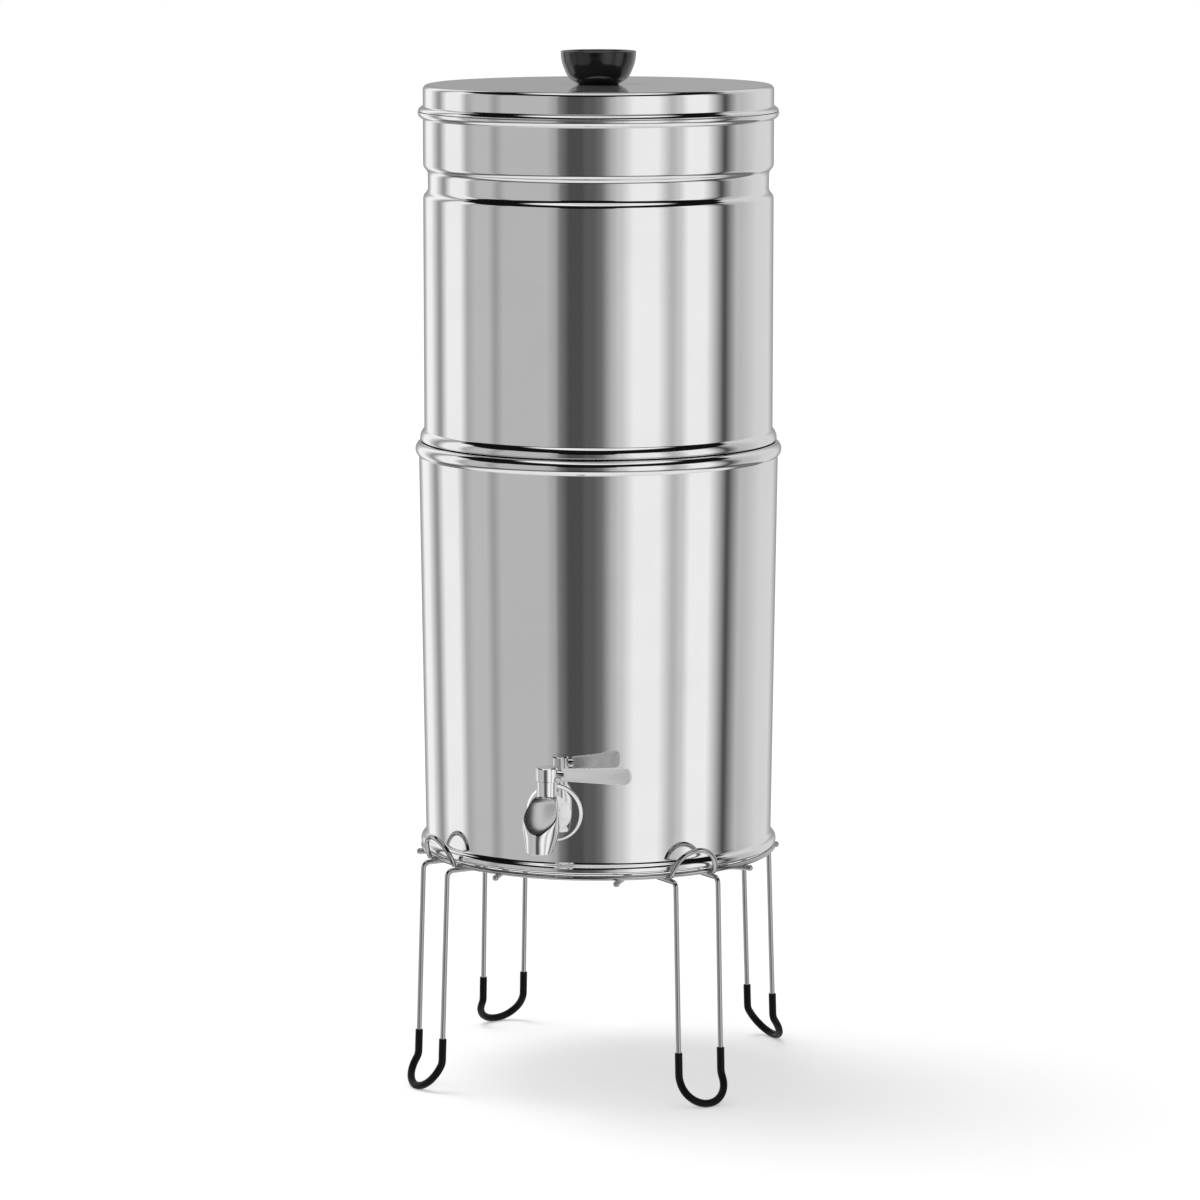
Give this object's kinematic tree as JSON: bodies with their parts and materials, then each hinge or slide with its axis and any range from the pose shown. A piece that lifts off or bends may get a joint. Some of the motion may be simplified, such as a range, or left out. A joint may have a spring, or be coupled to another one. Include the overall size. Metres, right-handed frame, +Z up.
{
  "type": "gravity water filter with tap",
  "caption": "Polished steel countertop gravity water filter: stacked round chambers with inner filter candles, a knobbed lid, a lever tap and a wire stand on rubber feet.",
  "frame": {"origin": "on the chambers' axis, at the level of the surface that the four feet stand on", "axes": "+Z up along the chambers' axis, -Y towards the user on the tap's side, +X to the user's right"},
  "size_m": [0.2184, 0.257, 0.6119],
  "materials": {
    "polished_steel": "mirror polished stainless steel sheet",
    "inner_steel": "satin stainless steel sheet",
    "tap_chrome": "bright chrome plated",
    "stand_wire": "polished stainless steel wire",
    "fastener_steel": "plain stainless steel",
    "foot_rubber": "satin black rubber",
    "seal_rubber": "matt black rubber",
    "clear_silicone": "milky translucent silicone",
    "candle_ceramic": "matt porous white ceramic",
    "candle_plastic": "white moulded plastic",
    "knob_plastic": "glossy black moulded plastic"
  },
  "bodies": {
    "stand": {"stand_ring": "stand_wire", "cross_wire_across_front": "stand_wire", "cross_wire_across_back": "stand_wire", "cross_wire_along_right": "stand_wire", "cross_wire_along_left": "stand_wire", "stand_leg_front_right": "stand_wire", "stand_leg_back_right": "stand_wire", "stand_leg_back_left": "stand_wire", "stand_leg_front_left": "stand_wire", "foot_sleeve_front_right": "foot_rubber", "foot_sleeve_back_right": "foot_rubber", "foot_sleeve_back_left": "foot_rubber", "foot_sleeve_front_left": "foot_rubber", "stand_arch_front_right": "stand_wire", "stand_arch_back_right": "stand_wire", "stand_arch_back_left": "stand_wire", "stand_arch_front_left": "stand_wire"},
    "lower_chamber": {"lower_chamber_shell": "polished_steel", "lower_chamber_floor": "inner_steel", "tap_body": "tap_chrome", "tap_flange": "tap_chrome", "tap_outer_washer": "clear_silicone", "tap_inner_washer": "clear_silicone", "tap_steel_washer": "fastener_steel", "tap_lock_nut": "fastener_steel"},
    "tap_lever": {"tap_stem": "fastener_steel", "tap_stem_seals": "seal_rubber", "tap_hub": "tap_chrome", "tap_lever_arm": "tap_chrome"},
    "upper_chamber": {"upper_chamber_shell": "polished_steel", "upper_chamber_floor": "inner_steel", "filter_candle_left": "candle_ceramic", "filter_candle_right": "candle_ceramic", "candle_cup_left": "candle_plastic", "candle_cup_right": "candle_plastic", "candle_seal_left": "clear_silicone", "candle_seal_right": "clear_silicone", "candle_wing_nut_left": "candle_plastic", "candle_wing_nut_right": "candle_plastic"},
    "lid": {"lid_shell": "polished_steel", "lid_collar": "inner_steel", "lid_knob": "knob_plastic", "knob_screw": "fastener_steel", "knob_screw_washer": "seal_rubber"}
  },
  "joints": [
    {"name": "lower_lift", "type": "slide", "parent": "stand", "child": "lower_chamber", "axis": [0, 0, 1], "range_m": [0, 0.1]},
    {"name": "tap_turn", "type": "hinge", "parent": "lower_chamber", "child": "tap_lever", "pos_m": [0, -0.12241, 0.2003], "axis": [0, 0, 1], "range_deg": [-90, 0]},
    {"name": "upper_lift", "type": "slide", "parent": "lower_chamber", "child": "upper_chamber", "axis": [0, 0, 1], "range_m": [0, 0.12]},
    {"name": "lid_lift", "type": "slide", "parent": "upper_chamber", "child": "lid", "axis": [0, 0, 1], "range_m": [0, 0.1]}
  ]
}
